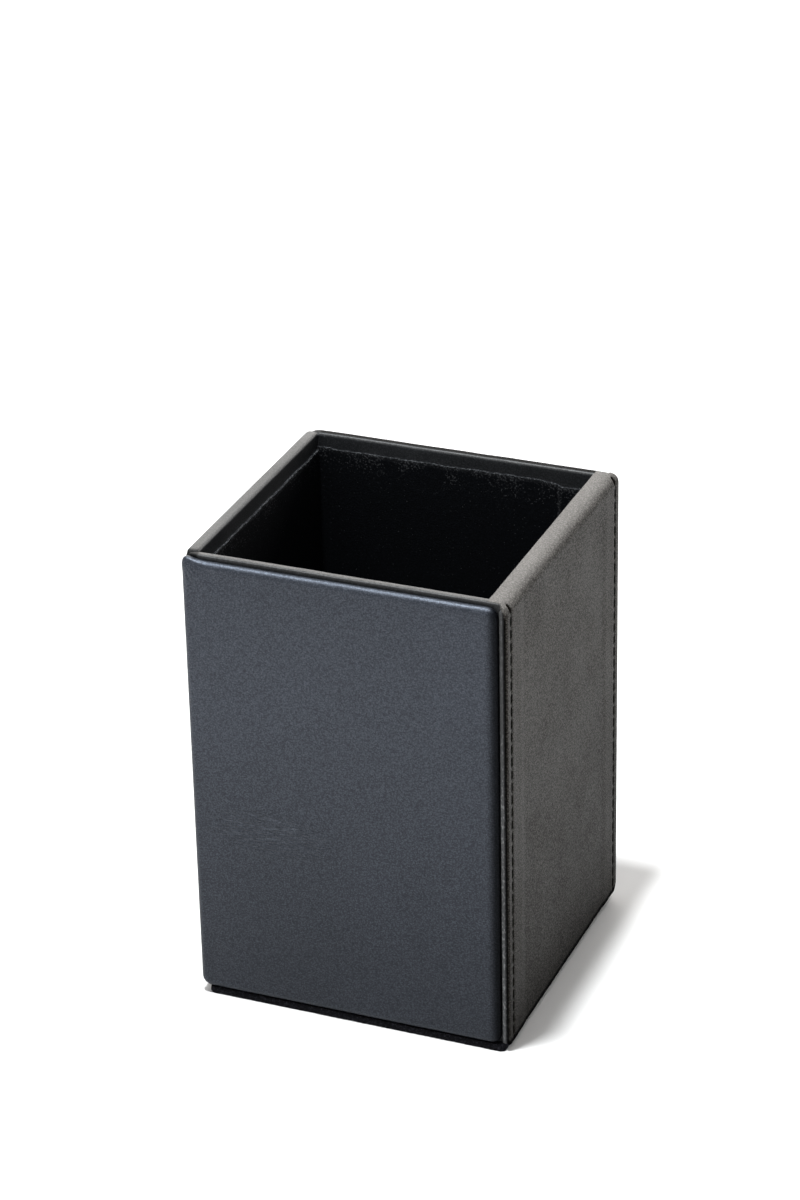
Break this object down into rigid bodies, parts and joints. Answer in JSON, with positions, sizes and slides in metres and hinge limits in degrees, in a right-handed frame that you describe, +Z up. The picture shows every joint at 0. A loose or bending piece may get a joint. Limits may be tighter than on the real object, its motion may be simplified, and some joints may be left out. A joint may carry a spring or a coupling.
{
  "type": "pen stand",
  "caption": "Square open-topped desk cup for pens: a board box wrapped in leather, with padded front and back panels, a sewn side with a rolled rim, a black lining and a felt base.",
  "frame": {"origin": "middle of the part's box, on the surface that it stands on", "axes": "+Z up, -Y out of the plain padded front panel, +X out of the sewn side panel"},
  "size_m": [0.0812, 0.08, 0.12],
  "materials": {
    "panel_leather": "fine-grained, satin, cool dark grey",
    "wrap_leather": "fine-grained, satin, cool dark grey",
    "side_leather": "fine-grained, matte, warm grey",
    "backing_leather": "raw cut edge, fuzzy grey",
    "thread": "black waxed thread",
    "board": "grey board",
    "foam": "thin soft padding",
    "lining": "black fibrous card",
    "felt": "black felt"
  },
  "bodies": {
    "root": {"front_panel_leather": "panel_leather", "back_panel_leather": "panel_leather", "front_panel_board": "board", "back_panel_board": "board", "front_panel_foam": "foam", "back_panel_foam": "foam", "body_wrap_leather": "wrap_leather", "side_panel_leather": "side_leather", "side_panel_backing": "backing_leather", "side_panel_stiffener": "board", "front_seam_thread": "thread", "back_seam_thread": "thread", "core_left_board": "board", "core_front_board": "board", "core_back_board": "board", "core_right_board": "board", "core_bottom_board": "board", "lining_front": "lining", "lining_left": "lining", "lining_back": "lining", "lining_right": "lining", "lining_floor": "lining", "base_felt": "felt"}
  },
  "joints": []
}
